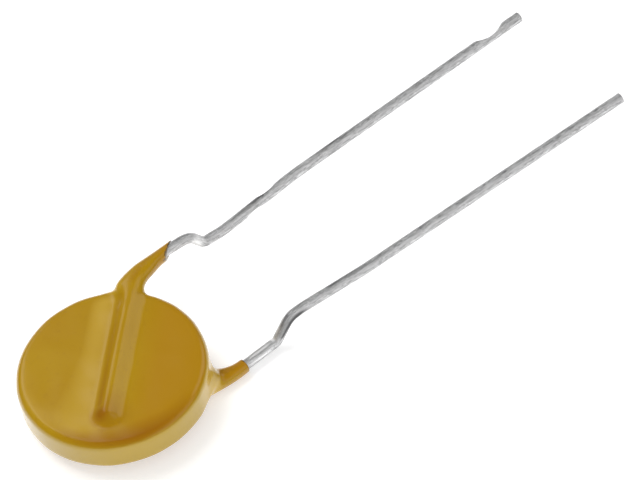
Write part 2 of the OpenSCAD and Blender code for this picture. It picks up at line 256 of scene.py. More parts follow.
# %% Floor
FLOOR_HALF = 1.5
FLOOR_BELOW = 0.01      # mm below the part, so that no two surfaces fight
FLOOR_GLOW = 0.45       # the light it adds to what sees it
MIRRORED_GLOW = 0.23    # and what it adds on top of that in a reflection

floor_mesh = bpy.data.meshes.new("floor")
floor_corners = [(-1, -1), (1, -1), (1, 1), (-1, 1)]
floor_mesh.from_pydata([(x * FLOOR_HALF, y * FLOOR_HALF, 0) for x, y in floor_corners],
                       [], [(0, 1, 2, 3)])
floor_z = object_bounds()[0][2] - FLOOR_BELOW * MM
floor = add_object("floor", floor_mesh)
floor.location.z = floor_z

paper = Graph(bpy.data.materials.new("white_paper"))
paper.put(Base_Color=(0.86, 0.86, 0.86), Roughness=0.9, Specular_IOR_Level=0.0)
rays = paper.add("LightPath").outputs
seen = paper.maths("MAXIMUM", rays["Is Camera Ray"], rays["Is Glossy Ray"])
seen = paper.maths("MAXIMUM", seen, rays["Is Transmission Ray"])
glow = paper.maths("MULTIPLY", seen, FLOOR_GLOW)
mirrored = paper.maths("MULTIPLY", rays["Is Glossy Ray"], MIRRORED_GLOW)
paper.put(Emission_Color=(1, 1, 1), Emission_Strength=paper.maths("ADD", glow, mirrored))
floor_mesh.materials.append(paper.owner)
print("floor at", round(floor.location.z / MM, 3), "mm")

# %% [markdown]
# ## The lamps
# A glossy dipped body shows its colour by matt light and its shape by what it mirrors. One
# set of lamps could give both, but here they are made apart, so that each can be set alone.
# The matt light comes from two large square lamps, one high behind the part and to its left,
# and one low in front for the rim. Neither is mirrored.

# %% Lamps
UP = Vector((0, 0, 1))
LAMP_OFF = 600          # mm from the disc
LAMP_SIZE = 420
LAMP_POWER = 2.0        # watts


def soft_lamp(name, towards):
    """A square lamp, seen from the disc in the direction given."""
    data = bpy.data.lights.new(name, "AREA")
    data.shape = "SQUARE"
    data.size = LAMP_SIZE * MM
    data.energy = LAMP_POWER
    lamp = add_object(name, data)
    direction = Vector(towards).normalized()
    lamp.location = (disc_middle + direction * LAMP_OFF) * MM
    lamp.rotation_euler = direction.to_track_quat("Z", "Y").to_euler()
    lamp.visible_glossy = False
    print(name, "at", [round(v, 2) for v in lamp.location], "m")


soft_lamp("key_lamp", away * 0.55 - level * 0.35 + UP * 0.9)
soft_lamp("rim_fill", away * -0.9 + level * 0.25 + UP * 0.1)

# %% [markdown]
# ## The cards
# In a studio, what a glossy body mirrors is set with white cards. Real planes would also throw
# matt light, so each card is painted into the world as a patch of light with soft edges, and
# only reflections see it. The left one lights the lower left of the face, the right one gives
# the bright streak along the ridge, and the near one shines on the wires' middle.

# %% Cards
LEFT_CARD = dict(towards=away * 0.55 - level * 0.25 + UP * 0.8, tall=UP - level * 0.05,
                 half_w=0.14, half_h=0.42, soft=0.05, value=1.0)
RIGHT_CARD = dict(towards=away * 0.43 + level * 0.66 + UP * 0.72, tall=UP,
                  half_w=0.23, half_h=0.33, soft=0.12, value=1.0)
NEAR_CARD = dict(towards=away * -0.5 + level * 0.72 + UP * 0.66, tall=away,
                 half_w=0.28, half_h=0.5, soft=0.25, value=0.75)
FACING_LEAST = 0.001    # keeps the back of the room from being divided by nothing


def along_axis(room, ray, axis):
    """How far a ray goes along an axis."""
    node = room.add("VectorMath", operation="DOT_PRODUCT")
    return room.fill(node, {0: ray, 1: axis}).outputs["Value"]


def card(room, ray, towards, tall, half_w, half_h, soft, value):
    """The light of a card with soft edges, in the direction given. Sizes are tangents."""
    middle = towards.normalized()
    across = tall.cross(middle).normalized()
    upright = middle.cross(across)
    depth = room.maths("MAXIMUM", along_axis(room, ray, middle), FACING_LEAST)
    lit = value
    for axis, half in ((across, half_w), (upright, half_h)):
        off = room.maths("DIVIDE", along_axis(room, ray, axis), depth)
        off = room.maths("ABSOLUTE", off, 0.0)
        edge = room.spread(off, half - soft, half + soft, 1.0, 0.0, "SMOOTHSTEP")
        lit = room.maths("MULTIPLY", edge, lit)
    return lit


for spec in (LEFT_CARD, RIGHT_CARD, NEAR_CARD):
    print("a card", round(degrees(atan(spec["half_w"])) * 2), "degrees wide")

# %% [markdown]
# ## The room
# In reflections the room is nearly dark, apart from a grey back wall that fades out upwards and
# to the left and is dimmer to the right. It gives the wide face its slow change of tone. A
# picture of a real room would add shapes of its own. For matt light the room is one even
# white, and the camera sees plain white.

# %% Room
ROOM_DIM = 0.03
ROOM_LIGHT = 0.5                    # the even matt light
BACK_WALL = 0.17                    # how bright the wall is
WALL_FADE_UP = (0.42, 0.58)         # how far away a ray goes where the wall ends and is full
WALL_FADE_LEFT = (-0.55, -0.35)     # and how far to the right it goes
WALL_FADE_RIGHT = (0.16, 0.0)
WALL_RIGHT = 0.4                    # the share of the wall's light that is left on the right

room = Graph(bpy.data.worlds.new("room"))
ray = room.add("TexCoord").outputs["Generated"]
wall = BACK_WALL
for axis, fade, least in ((away, WALL_FADE_UP, 0.0), (level, WALL_FADE_LEFT, 0.0),
                          (level, WALL_FADE_RIGHT, WALL_RIGHT)):
    share = room.spread(along_axis(room, ray, axis), *fade, least)
    wall = room.maths("MULTIPLY", share, wall)
in_gloss = room.maths("ADD", wall, ROOM_DIM)
for spec in (LEFT_CARD, RIGHT_CARD, NEAR_CARD):
    in_gloss = room.maths("ADD", card(room, ray, **spec), in_gloss)

rays = room.add("LightPath").outputs
light = ROOM_LIGHT
for share, value in ((rays["Is Glossy Ray"], in_gloss), (rays["Is Camera Ray"], 1.0)):
    light = room.fill(room.add("Mix"), {0: share, 2: light, 3: value}).outputs[0]
room.fill(room.nodes["Background"], {"Color": (1, 1, 1), "Strength": light})
bpy.context.scene.world = room.owner
print("room:", len(room.nodes), "nodes")

# %% [markdown]
# ## The route of a wire
# Each wire is one straight length that a machine has bent. Its route could be a curve drawn by
# hand, but a machine's bends are straight runs and arcs of known radius, so it is written as
# those. It is a list of stations, each a point with two angles: the heading, which is the turn
# to the left of +Y, and the dip, which is the slope downwards. Short steps keep bends round.

# %% Routes
LEAD_PITCH = 7.7
LEAD_OFFSET = 0.4
CROSS_ANGLE = radians(44)
CROSS_Y = 0.65
INNER_RUN = 4.0
SPLAY_R = 5.0
BEND_STEP = radians(3)
STRAIGHT_STEP = 0.12
TIP_IN = 0.005          # how far a cut end stays inside the solid's

FRONT = dict(bend_r=4.2, toe=4.3, kink_y=8.4, kink=57, in_r=0.9, out_r=0.4,
             gap=0.7, splay=3.8, splay_run=4.7, end_angle=0.0, reach=FRONT_REACH)
BACK = dict(bend_r=3.0, toe=2.3, kink_y=8.4, kink=46, in_r=0.5, out_r=0.9,
            gap=0.2, splay=4.2, splay_run=3.8, end_angle=1.5, reach=BACK_REACH)


def ahead(station, run):
    point, heading, dip = station
    way = Vector((-sin(heading) * cos(dip),
                  cos(heading) * cos(dip), -sin(dip)))
    return point + way * run, heading, dip


def sideways(heading):
    """Level, and square to a heading, to its right."""
    return Vector((cos(heading), sin(heading), 0))


def forwards(heading):
    return Vector((-sin(heading), cos(heading), 0))


def straight(stations, run):
    """Goes on straight ahead, in short steps."""
    start = stations[-1]
    steps = max(1, ceil(run / STRAIGHT_STEP))
    stations += [ahead(start, run * (k + 1) / steps) for k in range(steps)]


def turn_to(stations, heading, radius):
    """Turns level, to a new heading."""
    point, start, dip = stations[-1]
    way = 1 if heading > start else -1
    steps = max(2, ceil(abs(heading - start) / BEND_STEP))
    for k in range(1, steps + 1):
        h = start + (heading - start) * k / steps
        shift = Vector((cos(h) - cos(start), sin(h) - sin(start), 0))
        stations.append((point + shift * way * radius, h, dip))


def dip_to(stations, dip, radius):
    """Bends down or up, to a new dip."""
    point, heading, start = stations[-1]
    way = 1 if dip > start else -1
    steps = max(2, ceil(abs(dip - start) / BEND_STEP))
    for k in range(1, steps + 1):
        d = start + (dip - start) * k / steps
        run = way * radius * (sin(d) - sin(start))
        climb = way * radius * (cos(d) - cos(start))
        shift = Vector((-run * sin(heading), run * cos(heading), climb))
        stations.append((point + shift, heading, d))


print("bends in steps of", round(degrees(BEND_STEP)), "degrees")

# %% [markdown]
# ## The two routes
# A wire crosses the disc, turns to run off it, drops through a kink to the middle plane, spreads
# a little and runs straight to its cut end. Both are bent in that order with different sizes,
# so one function lays out either, and the back one is turned over at the end.

# %% Lay out both wires
def cross_run(bend_r):
    """How far a wire runs on past the crossing before it turns off the disc."""
    return (LEAD_PITCH / 2 - bend_r * (1 - cos(CROSS_ANGLE))) / sin(CROSS_ANGLE)


def on_disc(s):
    """The station a distance s past the place where the wires cross."""
    point = Vector((-s * sin(CROSS_ANGLE), CROSS_Y + s * cos(CROSS_ANGLE), wire_z))
    return point, CROSS_ANGLE, 0.0


def wire_route(bend_r, toe, kink_y, kink, in_r, out_r, gap, splay, splay_run, end_angle, reach):
    """All the stations of a wire, and the number of the one where its spread starts."""
    toe, kink, splay, end = (radians(v) for v in (toe, kink, splay, end_angle))
    stations = [on_disc(-INNER_RUN)]
    straight(stations, INNER_RUN + cross_run(bend_r))
    turn_to(stations, -toe, bend_r)
    to_kink = (kink_y - stations[-1][0].y) / cos(toe) - in_r * tan(kink / 2)
    straight(stations, to_kink)
    dip_to(stations, kink, in_r)
    straight(stations, (wire_z - (in_r + out_r) * (1 - cos(kink))) / sin(kink))
    dip_to(stations, 0.0, out_r)
    straight(stations, gap)
    turn_to(stations, splay, SPLAY_R)
    spread_at = len(stations) - 1
    straight(stations, splay_run)
    turn_to(stations, end, SPLAY_R)
    straight(stations, (reach - TIP_IN - stations[-1][0].y) / cos(end))
    return stations, spread_at


def lay(point, back):
    """From a wire's own place to the table's frame. The back wire is the front turned over."""
    x, z = (-point[0], -point[2]) if back else (point[0], point[2])
    return Vector((x - LEAD_OFFSET, point[1], z)) + disc_middle


front_route = wire_route(**FRONT)
back_route = wire_route(**BACK)
for name, route in (("front", front_route), ("back", back_route)):
    length = sum((b[0] - a[0]).length for a, b in zip(route[0], route[0][1:]))
    print(f"{name} wire: {length:.1f} mm long, {len(route[0])} stations")

# %% [markdown]
# ## The marks of the tools
# The front wire was gripped past its kink by two round jaws that did not meet squarely, and was
# nipped from one side near its end. A boolean cut would leave ragged edges in so fine a tube.
# Here a point that would stand inside a jaw is moved out to its face, as the soft metal was.

# %% Jaws
PINCH_RUN, PINCH_DEPTH, PINCH_JAW_R = 3.0, 0.1, 2.6
PINCH_STEP = 1.2        # how far the inner jaw bit nearer the body than the outer one
NIP_RUN, NIP_DEPTH, NIP_JAW_R = 2.0, 0.27, 1.8
JAW_TURN = radians(36)


def jaw(station, turn_angle, depth, radius):
    """A round jaw pressed on the wire at a station, from one side. It moves points."""
    point, heading, _ = station
    side = sideways(heading)
    along = ahead(station, 1.0)[0] - point
    out = side * cos(turn_angle) - side.cross(along) * sin(turn_angle)

    def press(p):
        offset = p - point
        t = offset.dot(along)
        if abs(t) >= radius:
            return p
        limit = wire_r - depth + radius - sqrt(radius ** 2 - t * t)
        over = offset.dot(out) - limit
        return p - out * over if 0 < over < WIRE_D else p

    return press


stations, spread_at = front_route
pinch = ahead(stations[spread_at], PINCH_RUN)
nip = ahead(stations[-1], -NIP_RUN)
front_jaws = [jaw(ahead(pinch, -PINCH_STEP), JAW_TURN, PINCH_DEPTH, PINCH_JAW_R),
              jaw(pinch, pi + JAW_TURN, PINCH_DEPTH, PINCH_JAW_R),
              jaw(nip, pi + JAW_TURN, NIP_DEPTH, NIP_JAW_R)]
print(f"the nip leaves {WIRE_D - NIP_DEPTH:.2f} mm of wire")

# %% [markdown]
# ## Painted shade and highlights on the tin
# A painted shade runs along the top of each wire, with a painted highlight beside it. Round the
# bends and the jaws' marks are patches of painted shade and highlight, partly dull and bright
# tin where a tool worked it. That could be painted by hand. Here each patch is a short row of
# numbers instead, which is easy to move, and every corner of the wire keeps how much painted
# shade and highlight it takes.

# %% Painted shade and highlights on the tin
# Each patch is (mm past the start of the wire's spread, half its length, degrees up from the
# part's right, half its turn, strength). The first of each kind runs the whole length: painted
# shade along the top of the wire, and a painted highlight on its upper right.
TOP_SHADE = [(0, 60, 96, 38, 0.13)]
UPPER_HIGHLIGHT = [(0, 60, 52, 44, 0.55)]
FRONT_DULL_AND_SHADE = TOP_SHADE + [(2.4, 2.4, 100, 40, 0.8), (7.5, 1.6, 110, 40, 0.8)]
FRONT_POLISH_AND_HIGHLIGHT = UPPER_HIGHLIGHT + [(-2.4, 0.8, 0, 55, 1.0)]
BACK_DULL_AND_SHADE = TOP_SHADE + [(-1.8, 0.9, 34, 50, 3.0), (-1.0, 1.3, 14, 45, 2.0),
                        (-3.8, 1.4, 60, 14, 0.9), (2.6, 2.6, 100, 40, 0.6)]
BACK_POLISH_AND_HIGHLIGHT = UPPER_HIGHLIGHT + [(-2.75, 0.4, 105, 60, 1.6), (-3.9, 1.4, 86, 26, 1.5),
                            (-3.9, 1.4, 28, 32, 1.8)]


def bell(u):
    """Falls smoothly from 1 at 0 to 0 at 1."""
    return (1 - u * u) ** 3 if u < 1 else 0.0


def patch_share(patches, up_turn, t):
    """How strongly a corner is marked, from its turn and its place along the wire."""
    share = 0.0
    for patch_t, half_t, patch_turn, half_turn, strength in patches:
        off = abs(remainder(up_turn - patch_turn, 360))
        share = max(share, strength * bell(abs(t - patch_t) / half_t) * bell(off / half_turn))
    return min(1.0, share)


print("patches:", len(FRONT_DULL_AND_SHADE + FRONT_POLISH_AND_HIGHLIGHT), "on the front wire and",
      len(BACK_DULL_AND_SHADE + BACK_POLISH_AND_HIGHLIGHT), "on the back one")

# %% [markdown]
# ## The tube of a wire
# Copper wire is drawn through a die, which leaves fine lines along it, then tinned, cut and
# bent. A curve with a round bevel would give the tube in one step, but the lines and the marks
# could not be worked into it. So the tube is made ring by ring along the route, and each
# corner keeps its place round and along the wire for the tin to use.

# %% Rings and faces of a wire
WIRE_SIDES = 40
DRAW_DEPTH = 0.004
DRAW_LINES = (3, 5, 8, 13)      # how many lines of each kind go round the wire
DRAW_SWAY, DRAW_PITCH = 0.07, 0.9
TIP_CHAMFER = 0.05
RING_GAP = 0.01                 # the least room between the last plain ring and the chamfer
# The rings of the cut end, as (mm back from it, how many chamfers its edge is drawn in).
TIP_RINGS = ((TIP_CHAMFER, 0), (TIP_CHAMFER * 0.3, 0.3), (0, 1), (-0.004, 2.4), (-0.006, 4.2))
SHARP_EDGE = radians(50)


def wire_rings(stations, travelled):
    """The rings of a wire, each a station with its radius and its distance along the wire."""
    end = travelled[-1]
    rings = [(s, wire_r, t) for s, t in zip(stations[:-1], travelled[:-1])
             if t < end - TIP_CHAMFER - RING_GAP]
    for back_off, drawn_in in TIP_RINGS:
        rings.append((ahead(stations[-1], -back_off), wire_r - TIP_CHAMFER * drawn_in,
                      end - back_off))
    return rings


def tube_faces(n, count):
    """The faces of a tube of count rings, with n corners each."""
    return [(k * n + i, k * n + (i + 1) % n, (k + 1) * n + (i + 1) % n, (k + 1) * n + i)
            for k in range(count - 1) for i in range(n)]


def keep_values(mesh, values_by_name):
    """Keeps a number at every corner of a mesh, for its material to read."""
    for name, values in values_by_name.items():
        layer = mesh.attributes.new(name, "FLOAT", "POINT")
        layer.data.foreach_set("value", np.array(values, dtype=np.float32))


def wire_mesh(name, route, jaws, dull_and_shade, polish_and_highlight, back, seed):
    stations, spread_at = route
    dice = random.Random(seed)
    wander = [dice.uniform(0, tau) for _ in DRAW_LINES]
    travelled = [0.0]
    for a, b in zip(stations, stations[1:]):
        travelled.append(travelled[-1] + (b[0] - a[0]).length)
    rings = wire_rings(stations, travelled)
    points, places, shade_shares, highlight_shares = [], [], [], []
    for (point, heading, dip), r, t in rings:
        side = sideways(heading)
        over = Vector((-sin(heading) * sin(dip),
                       cos(heading) * sin(dip), cos(dip)))
        for k in range(WIRE_SIDES):
            a = tau * k / WIRE_SIDES
            lines = sum(sin(f * a + w + DRAW_SWAY * f * sin(t * DRAW_PITCH + w))
                        for f, w in zip(DRAW_LINES, wander)) / len(DRAW_LINES)
            radius = r - DRAW_DEPTH * (1 + lines) / 2
            p = point + side * cos(a) * radius - over * sin(a) * radius
            for press in jaws:
                p = press(p)
            points.append(lay(p, back) * MM)
            places.append((cos(a), sin(a), t))
            up_turn = 180 - degrees(a) if back else -degrees(a)
            # How much painted shade and painted highlight this corner takes, partly tool marks.
            shade_shares.append(patch_share(dull_and_shade, up_turn, t - travelled[spread_at]))
            highlight_shares.append(patch_share(polish_and_highlight, up_turn, t - travelled[spread_at]))
    faces = tube_faces(WIRE_SIDES, len(rings))
    faces.append(tuple(reversed(range(WIRE_SIDES))))
    faces.append(tuple(range(len(points) - WIRE_SIDES, len(points))))
    mesh = bpy.data.meshes.new(name)
    mesh.from_pydata(points, [], faces)
    layer = mesh.attributes.new("wire_place", "FLOAT_VECTOR", "POINT")
    layer.data.foreach_set("vector", np.array(places, dtype=np.float32).ravel())
    keep_values(mesh, {"dull_and_shade": shade_shares, "polish_and_highlight": highlight_shares})
    mesh.shade_smooth()
    mesh.set_sharp_from_angle(angle=SHARP_EDGE)
    return mesh


print(f"a ring has {WIRE_SIDES} corners, and lines up to {DRAW_DEPTH * 1000:.0f} micrometres deep")

# %% [markdown]
# ## The two wires
# One mesh could serve for both wires, but their bends, marks and lines all differ, so each is
# made from its own numbers. Each stands for the plain solid of its lead.

# %% Make both wires
front_wire = add_object("front_wire", wire_mesh(
    "front_wire", front_route, front_jaws, FRONT_DULL_AND_SHADE, FRONT_POLISH_AND_HIGHLIGHT, back=False, seed=3))
back_wire = add_object("back_wire", wire_mesh(
    "back_wire", back_route, [], BACK_DULL_AND_SHADE, BACK_POLISH_AND_HIGHLIGHT, back=True, seed=8))
for wire, node in ((front_wire, "front_lead"), (back_wire, "back_lead")):
    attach(wire, "root")
    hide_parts(node)
    print(wire.name, len(wire.data.polygons), "faces")

# %% [markdown]
# ## Tinned metal
# Tin on drawn copper is a pale grey metal with a satin shine, scored along its length, with
# small dark pits. Its texture is laid out round and along the wire, not by place in space, so
# the lines follow the bends. Stretched noise makes the lines, plain noise the clouds and pits,
# and the patches of painted shade and highlight go over them. An even metal would look like new
# chrome.

# %% Tinned metal
LINE_STRETCH, FINE_STRETCH = (3.0, 3.0, 0.7), (9, 9, 1.2)
CLOUD_STRETCH, PIT_STRETCH = (0.7, 0.7, 0.8), (1.5, 1.5, 2.4)
TIN_DARK, TIN_LIGHT = srgb(136, 136, 137), srgb(228, 228, 229)
TIN_CLOUD, TIN_PIT, TIN_SPECK = srgb(180, 179, 177), srgb(98, 98, 99), srgb(246, 246, 246)
# A dark tone for painted shade and dull tin, and white for painted highlights and polished tin.
SHADE_AND_HIGHLIGHT_TONES = (("dull_and_shade", srgb(20, 20, 22)), ("polish_and_highlight", srgb(255, 255, 255)))
TIN_METALLIC = 0.45


def tinned_metal():
    tin = Graph(bpy.data.materials.new("tinned_metal"))
    place = tin.attribute("wire_place", "Vector")
    lines = tin.noise(tin.stretched(place, LINE_STRETCH), 2.2, 5, 0.7)
    fine_lines = tin.noise(tin.stretched(place, FINE_STRETCH), 2.4, 3)
    clouds = tin.noise(tin.stretched(place, CLOUD_STRETCH), 1.6, 5, 0.6)
    pits = tin.noise(tin.stretched(place, PIT_STRETCH), 2.4, 3, 0.5)
    colour = tin.blend(tin.spread(lines, 0.4, 0.6), TIN_DARK, TIN_LIGHT)
    for value, low, high, most, tone in ((clouds, 0.45, 0.7, 0.5, TIN_CLOUD),
                                         (pits, 0.58, 0.68, 0.6, TIN_PIT),
                                         (pits, 0.4, 0.32, 0.7, TIN_SPECK)):
        colour = tin.blend(tin.spread(value, low, high, 0.0, most), colour, tone)
    # The patches of painted shade and highlight go on top, broken up by the lines.
    broken = tin.spread(lines, 0.3, 0.6, 0.75, 1.0)
    for name, tone in SHADE_AND_HIGHLIGHT_TONES:
        strength = tin.maths("MULTIPLY", tin.attribute(name), broken)
        colour = tin.blend(strength, colour, tone)
    tin.put(Base_Color=colour, Roughness=tin.spread(clouds, 0.3, 0.7, 0.24, 0.42),
            Metallic=TIN_METALLIC)
    tin.bump(lines, 0.5, 0.02)
    tin.bump(fine_lines, 0.3, 0.006)
    tin.bump(clouds, 0.25, 0.02)
    print("tinned metal:", len(tin.nodes), "nodes")
    return tin.owner


wire_metal = tinned_metal()
front_wire.data.materials.append(wire_metal)
back_wire.data.materials.append(wire_metal)

# %% [markdown]
# ## The face of the resin
# The body is dipped in thick resin, drained and baked. The resin lies over each wire as a soft
# ridge on a low foot, which is wider where draining resin was dammed. On the side where most
# resin gathered the face falls away in a shoulder, and where a wire leaves, the rim is drawn
# out in a flare. These could be sculpted, but each is a plain rise or fall of known width, so
# each is a small function of a point's place. Sizes are in millimetres.

# %% Rises and falls of the face
INNER_TAIL = 0.9        # how far the ridge runs on past the wire's inner end
DOME = 0.1              # height of the face's middle above its edge
RIDGE_SHIFT = 0.08      # of the ridge's crest from the wire, towards the leads
RIDGE_BELOW = 0.95      # half width on the side that hung lower
RIDGE_ABOVE = 1.1       # on the other side, where draining resin was dammed
FOOT_H = 0.1
FOOT_BELOW = 2.3
FOOT_ABOVE = 3.2
FOOT_TAIL = 1.5
SHOULDER = 0.06         # how far the face falls before its lower edge
SHOULDER_AT = 3.8       # where that begins, from the middle
BEAD_AT = radians(-14)  # the side where most resin gathered in the face's edge
RIM_FLARE = 0.4         # how far the rim is drawn out
FLARE_OUTER = 1.9       # half width of the flare on its left
FLARE_INNER = 0.7       # and on its right


def wire_distance(x, y):
    """How far a point of the front face is across and along the front wire."""
    dx, dy = x + LEAD_OFFSET, y - CROSS_Y
    across = dx * cos(CROSS_ANGLE) + dy * sin(CROSS_ANGLE)
    along = -dx * sin(CROSS_ANGLE) + dy * cos(CROSS_ANGLE)
    return across, along


def ridge(x, y):
    across, along = wire_distance(x, y)
    across -= RIDGE_SHIFT
    past = max(0.0, -INNER_RUN - along) / INNER_TAIL
    ridge_w, foot_w = (RIDGE_ABOVE, FOOT_ABOVE) if across > 0 else (RIDGE_BELOW, FOOT_BELOW)
    dome = DOME * max(0.0, 1 - (x * x + y * y) / coat_r ** 2)
    height = crest_z - face_z - dome - FOOT_H
    return (dome + FOOT_H * bell(hypot(across / foot_w, past / FOOT_TAIL))
            + height * bell(hypot(across / ridge_w, past)))


def shoulder(x, y):
    """How far the face falls away before its edge, on the side where resin gathered."""
    side = max(0.0, cos(atan2(y, x) - BEAD_AT))
    outer = coat_r - COAT_EDGE_R
    near_edge = min(1.0, max(0.0, (hypot(x, y) - SHOULDER_AT) / (outer - SHOULDER_AT)))
    return SHOULDER * side * near_edge ** 2


def flare(x, y):
    """How far the rim is drawn out where the wire leaves."""
    across, along = wire_distance(x, y)
    half_w = FLARE_INNER if across > 0 else FLARE_OUTER
    return RIM_FLARE * bell(abs(across) / half_w) if along > 0 else 0.0


print(f"the ridge stands {crest_z - face_z:.2f} mm above the face's edge")

# %% [markdown]
# ## The body
# The body is round and nearly flat, with rounded edges and a small sag at the end that hung
# lowest. A bevelled cylinder would be quicker, but its face has no corners to raise into the
# ridge. So each half is a set of rings over the face and round the edge, and the back half is
# the front one turned over.

# %% Body skin
TURNS = 240
FACE_RINGS = 54
EDGE_RINGS = 14
angles = [tau * k / TURNS for k in range(TURNS)]


def body_r(a):
    return coat_r + COAT_SAG * max(0.0, -sin(a)) ** 2


def own_x(x, side):
    return x if side > 0 else -2 * LEAD_OFFSET - x


def face_point(a, share, side):
    r = (body_r(a) - COAT_EDGE_R) * share
    x, y = r * cos(a), r * sin(a)
    return x, y, side * (face_z + ridge(own_x(x, side), y) - shoulder(x, y))


def edge_point(a, round_angle, side):
    r = body_r(a) - COAT_EDGE_R * (1 - sin(round_angle))
    x, y = r * cos(a), r * sin(a)
    height = ridge(own_x(x, side), y) - shoulder(x, y)
    out = flare(own_x(x, side), y) * sin(round_angle)
    z = face_z - COAT_EDGE_R + (COAT_EDGE_R + height) * cos(round_angle)
    return x - side * out * sin(CROSS_ANGLE), y + out * cos(CROSS_ANGLE), side * z


def half_rings(side):
    rings = [[face_point(a, k / FACE_RINGS, side) for a in angles]
             for k in range(1, FACE_RINGS + 1)]
    rings += [[edge_point(a, pi / 2 * k / EDGE_RINGS, side) for a in angles]
              for k in range(1, EDGE_RINGS + 1)]
    return rings


def closed_skin(rings, start, end):
    """Corners and faces of a skin through rings, closed by a fan at each end."""
    n, count = len(rings[0]), len(rings)
    corners = [p for ring in rings for p in ring] + [start, end]
    faces = tube_faces(n, count)
    top = (count - 1) * n
    faces += [(count * n, (i + 1) % n, i) for i in range(n)]
    faces += [(count * n + 1, top + i, top + (i + 1) % n) for i in range(n)]
    return corners, faces


def body_skin():
    back, front = half_rings(-1), half_rings(1)
    wall = [(body_r(a) * cos(a), body_r(a) * sin(a), 0.0) for a in angles]
    rings = back + [wall] + front[::-1]
    return closed_skin(rings, face_point(0, 0, -1), face_point(0, 0, 1))


shells = [body_skin()]
print("body:", len(shells[0][1]), "faces")

# %% [markdown]
# ## The resin legs
# Resin creeps a little way down each wire as it drains, wide at the body and thin where it
# stops. A cone would be too stiff: the real leg leans inward, swells at its root and ends in a
# slanting edge. So each leg is a tube of ovals along the same route as its wire.

# %% Leg skins
LEG_SIDES = 48
LEG_ROOT_RUN = 0.9                  # how far inside the rim a leg starts
ROOT_FADE = 2.5                     # how fast the root's width is lost
LEAN_AT, LEAN_REACH = 0.65, 0.7     # where a leg leans inward most, and how far on each side
FRONT_LEG = dict(leg_y=7.05, root_d=1.8, end_d=0.9, root_lean=-0.07, lean=0.18, slant=1.0)
BACK_LEG = dict(leg_y=6.2, root_d=2.35, end_d=0.84, root_lean=-0.12, lean=0.0, slant=0.0)
LEGS = ((FRONT, FRONT_LEG, False), (BACK, BACK_LEG, True))


def ease(t):
    t = min(1.0, max(0.0, t))
    return t * t * (3 - 2 * t)


def run_to(r):
    """How far the wire's line runs from the crossing to a circle about the disc's middle."""
    off_line = CROSS_Y * sin(CROSS_ANGLE) - LEAD_OFFSET * cos(CROSS_ANGLE)
    behind = LEAD_OFFSET * sin(CROSS_ANGLE) + CROSS_Y * cos(CROSS_ANGLE)
    return sqrt(r * r - off_line ** 2) - behind


rim_run = run_to(coat_r)
leg_start = rim_run - LEG_ROOT_RUN


def leg_stations(spec, leg):
    """Stations from inside the body to the leg's end, each with its distance run."""
    toe = radians(spec["toe"])
    stations = [on_disc(leg_start)]
    straight(stations, cross_run(spec["bend_r"]) - leg_start)
    turn_to(stations, -toe, spec["bend_r"])
    straight(stations, (leg["leg_y"] - stations[-1][0].y) / cos(toe))
    run, runs = leg_start, [leg_start]
    for a, b in zip(stations, stations[1:]):
        run += (b[0] - a[0]).length
        runs.append(run)
    return stations, runs


def leg_lean(leg, share):
    """How far a leg leans inward, a share of the way to its end."""
    return leg["lean"] * bell(abs(share - LEAN_AT) / LEAN_REACH)


def leg_skin(spec, leg):
    root_d, end_d = leg["root_d"], leg["end_d"]
    stations, runs = leg_stations(spec, leg)
    rings = []
    for (point, heading, _), s in zip(stations, runs):
        swell = ease((s - leg_start) / LEG_ROOT_RUN)
        share = min(1.0, max(0.0, (s - rim_run) / (runs[-1] - rim_run)))
        root_share = swell * (1 - share) ** ROOT_FADE
        half_w = end_d / 2 + (root_d - end_d) / 2 * root_share
        rim_h = wire_r + COAT_WIRE * (1 + swell) / 2
        half_h = rim_h + (end_d / 2 - rim_h) * (1 - (1 - share) ** 2)
        lean = leg_lean(leg, share) + leg["root_lean"] * root_share
        ring = []
        for k in range(LEG_SIDES):
            a = tau * k / LEG_SIDES
            p = (point + sideways(heading) * (lean + half_w * cos(a))
                 - UP * half_h * sin(a)
                 - forwards(heading) * leg["slant"] / 2 * cos(a) * share)
            ring.append(tuple(p))
        rings.append(ring)
    middles = [tuple(sum((Vector(p) for p in ring), Vector()) / len(ring))
               for ring in (rings[0], rings[-1])]
    return closed_skin(rings, *middles)


def turned_over(corners, back):
    if not back:
        return [(x - LEAD_OFFSET, y, z) for x, y, z in corners]
    return [(-x - LEAD_OFFSET, y, -z) for x, y, z in corners]


for spec, leg, back in LEGS:
    corners, faces = leg_skin(spec, leg)
    shells.append((turned_over(corners, back), faces))
print("shells:", [len(faces) for _, faces in shells], "faces")

# %% [markdown]
# ## One skin from three
# Wet resin leaves no crease where a leg meets the body, but a boolean union would. So the three
# shells are recast as one skin on a grid of small cells, which is smoothed a little all over
# and much more round the roots of the legs. The grid works best on numbers near one, so this
# is done in millimetres.

# %% Merge and smooth
CELL = 0.065
SMOOTH_FACTOR = 0.5
SMOOTH_ROUNDS = 8
FILLET_ROUNDS = 170
FILLET_REACH = 1.45
FILLET_FADE = 0.7
LEAST_WEIGHT = 0.01


def joined(name, shells):
    corners, faces = [], []
    for some_corners, some_faces in shells:
        start = len(corners)
        corners += some_corners
        faces += [tuple(start + i for i in face) for face in some_faces]
    mesh = bpy.data.meshes.new(name)
    mesh.from_pydata(corners, [], faces)
    return mesh


def with_modifiers(mesh, *steps):
    """The mesh after some modifiers, each given as (kind, settings, corner weights)."""
    rough = add_object("rough", mesh)
    for kind, settings, weights in steps:
        modifier = rough.modifiers.new(kind, kind)
        for name, value in settings.items():
            setattr(modifier, name, value)
        if weights is not None:
            group = rough.vertex_groups.new(name="weights")
            for k in np.flatnonzero(weights > LEAST_WEIGHT):
                group.add([int(k)], float(weights[k]), "REPLACE")
            modifier.vertex_group = group.name
    shape = rough.evaluated_get(bpy.context.evaluated_depsgraph_get())
    result = bpy.data.meshes.new_from_object(shape)
    bpy.data.objects.remove(rough)
    return result


